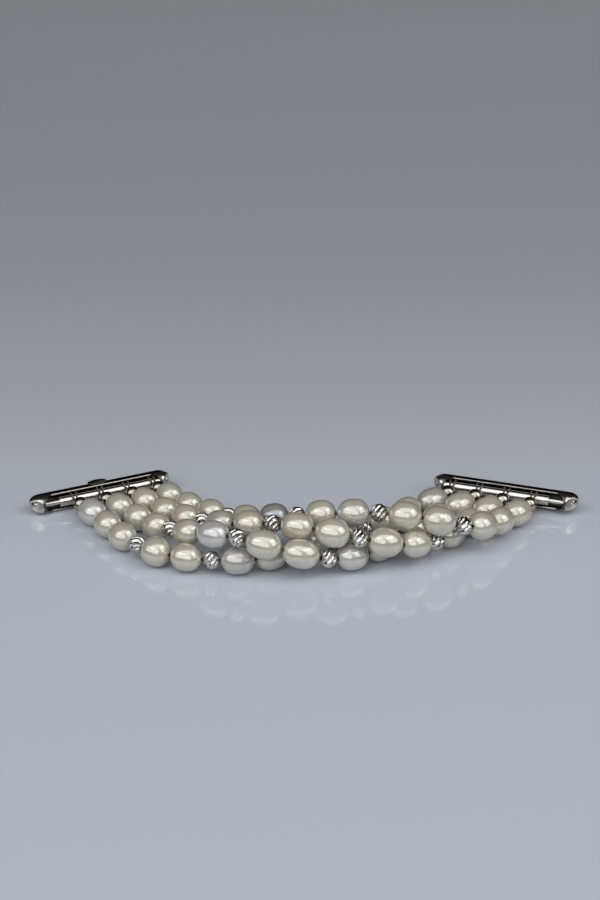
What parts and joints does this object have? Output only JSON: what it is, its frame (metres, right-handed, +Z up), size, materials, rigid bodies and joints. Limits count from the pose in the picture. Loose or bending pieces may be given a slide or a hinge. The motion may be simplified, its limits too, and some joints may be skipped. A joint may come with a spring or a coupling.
{
  "type": "watch band",
  "caption": "Twisted multi-strand pearl watch band on elastic cord, with spring bars held in slide-in rail adapters.",
  "frame": {"origin": "middle of the whole band seen from above, on the surface it lies on", "axes": "+X from the left adapter to the right adapter, +Y away from the pictured side, +Z up"},
  "size_m": [0.0908, 0.0364, 0.0104],
  "materials": {
    "pearl": "satin nacre",
    "cut_metal": "diamond-cut, bright",
    "bead_metal": "polished",
    "elastic": "clear, slightly brown",
    "adapter_metal": "polished dark nickel",
    "latch_metal": "polished dark nickel",
    "bar_metal": "polished",
    "spring_steel": "drawn wire"
  },
  "bodies": {
    "strands": {"elastic_cord_1": "elastic", "elastic_cord_2": "elastic", "elastic_cord_3": "elastic", "elastic_cord_4": "elastic", "pearls_1": "pearl", "pearls_2": "pearl", "pearls_3": "pearl", "pearls_4": "pearl", "cut_beads_1": "cut_metal", "cut_beads_2": "cut_metal", "cut_beads_3": "cut_metal", "cut_beads_4": "cut_metal", "end_beads_1": "bead_metal", "end_beads_2": "bead_metal", "end_beads_3": "bead_metal", "end_beads_4": "bead_metal", "left_bar_spring": "spring_steel", "right_bar_spring": "spring_steel"},
    "left_adapter_body": {"left_adapter": "adapter_metal", "left_latch_spring": "spring_steel", "left_latch_cover": "adapter_metal"},
    "left_latch": {"left_latch_button": "latch_metal"},
    "left_tube": {"left_bar_tube": "bar_metal"},
    "left_near_pin": {"left_bar_pin_near": "bar_metal"},
    "left_far_pin": {"left_bar_pin_far": "bar_metal"},
    "right_adapter_body": {"right_adapter": "adapter_metal", "right_latch_spring": "spring_steel", "right_latch_cover": "adapter_metal"},
    "right_latch": {"right_latch_button": "latch_metal"},
    "right_tube": {"right_bar_tube": "bar_metal"},
    "right_near_pin": {"right_bar_pin_near": "bar_metal"},
    "right_far_pin": {"right_bar_pin_far": "bar_metal"}
  },
  "joints": [
    {"name": "left_adapter_turn", "type": "hinge", "parent": "strands", "child": "left_adapter_body", "pos_m": [-0.03327, 0.0104, 0.00179], "axis": [0.9063, 0.4226, 0], "range_deg": [-45, 65]},
    {"name": "left_latch_press", "type": "slide", "parent": "left_adapter_body", "child": "left_latch", "axis": [0.0806, -0.1729, -0.9816], "range_m": [0, 0.0003], "stiffness_N_per_m": 200, "springref_m": -0.0004, "deforming": ["left_latch_spring"]},
    {"name": "left_tube_float", "type": "slide", "parent": "strands", "child": "left_tube", "axis": [-0.9063, -0.4226, 0], "range_m": [0, 0.0025]},
    {"name": "left_near_pin_press", "type": "slide", "parent": "strands", "child": "left_near_pin", "axis": [0.9063, 0.4226, 0], "range_m": [0, 0.0012], "stiffness_N_per_m": 300, "springref_m": -0.001, "deforming": ["left_bar_spring"]},
    {"name": "left_far_pin_press", "type": "slide", "parent": "strands", "child": "left_far_pin", "axis": [-0.9063, -0.4226, 0], "range_m": [0, 0.0012], "stiffness_N_per_m": 300, "springref_m": -0.001, "deforming": ["left_bar_spring"]},
    {"name": "right_adapter_turn", "type": "hinge", "parent": "strands", "child": "right_adapter_body", "pos_m": [0.03303, 0.0092, 0.00226], "axis": [0.9483, -0.3173, 0], "range_deg": [-45, 65]},
    {"name": "right_latch_press", "type": "slide", "parent": "right_adapter_body", "child": "right_latch", "axis": [0.066, 0.1972, 0.9781], "range_m": [0, 0.0003], "stiffness_N_per_m": 200, "springref_m": -0.0004, "deforming": ["right_latch_spring"]},
    {"name": "right_tube_float", "type": "slide", "parent": "strands", "child": "right_tube", "axis": [0.9483, -0.3173, 0], "range_m": [0, 0.0025]},
    {"name": "right_near_pin_press", "type": "slide", "parent": "strands", "child": "right_near_pin", "axis": [-0.9483, 0.3173, 0], "range_m": [0, 0.0012], "stiffness_N_per_m": 300, "springref_m": -0.001, "deforming": ["right_bar_spring"]},
    {"name": "right_far_pin_press", "type": "slide", "parent": "strands", "child": "right_far_pin", "axis": [0.9483, -0.3173, 0], "range_m": [0, 0.0012], "stiffness_N_per_m": 300, "springref_m": -0.001, "deforming": ["right_bar_spring"]}
  ]
}
